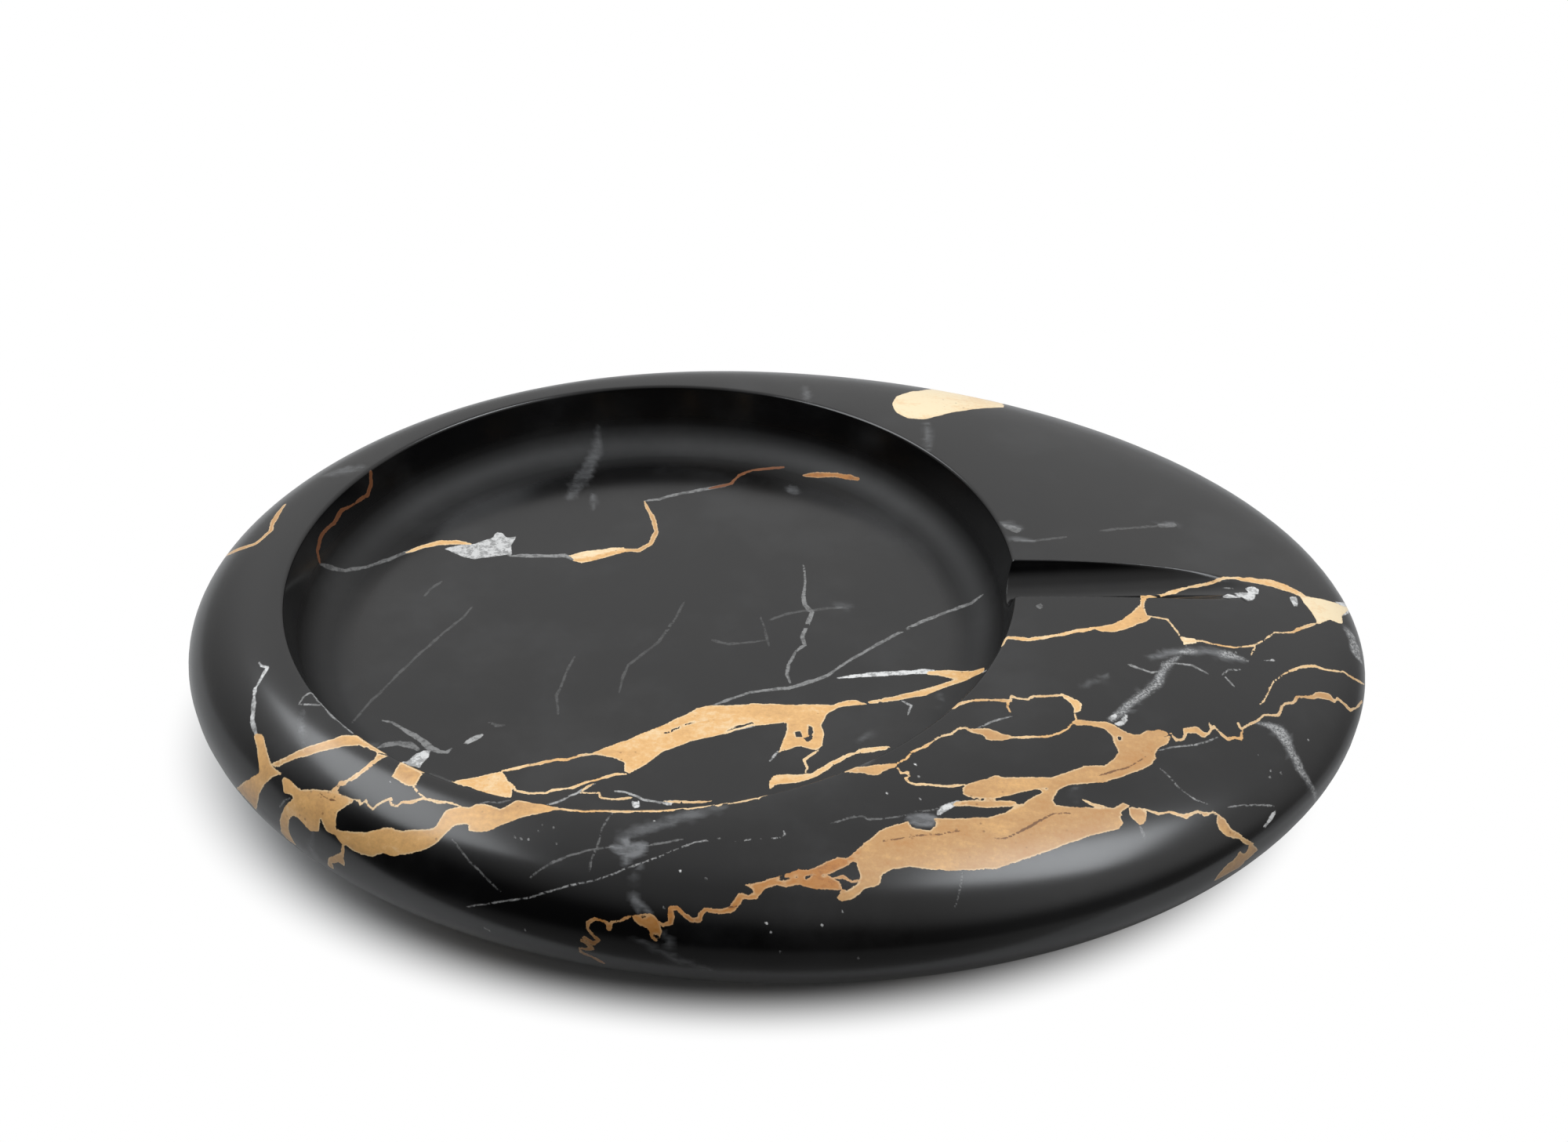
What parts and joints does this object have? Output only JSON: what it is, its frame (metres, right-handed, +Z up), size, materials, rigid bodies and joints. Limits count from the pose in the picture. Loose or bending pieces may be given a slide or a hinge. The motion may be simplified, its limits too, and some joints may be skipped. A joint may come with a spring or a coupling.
{
  "type": "marble ashtray",
  "caption": "Oval pebble-shaped stone ashtray with a round well near one end, a rest groove across the wide land and felt pads under its flat base.",
  "frame": {"origin": "the oval's centre, on the surface that the felt pads stand on", "axes": "+X along the long axis towards the wide land with the rest groove, +Z up out of the well"},
  "size_m": [0.2, 0.1588, 0.032],
  "materials": {
    "black_marble": "polished black marble with gold and grey veins",
    "grey_felt": "pressed wool felt",
    "pad_adhesive": "cured acrylic adhesive"
  },
  "bodies": {
    "root": {"marble_body": "black_marble", "felt_pad_right_back": "grey_felt", "felt_pad_left_back": "grey_felt", "felt_pad_left_front": "grey_felt", "felt_pad_right_front": "grey_felt", "adhesive_right_back": "pad_adhesive", "adhesive_left_back": "pad_adhesive", "adhesive_left_front": "pad_adhesive", "adhesive_right_front": "pad_adhesive"}
  },
  "joints": []
}
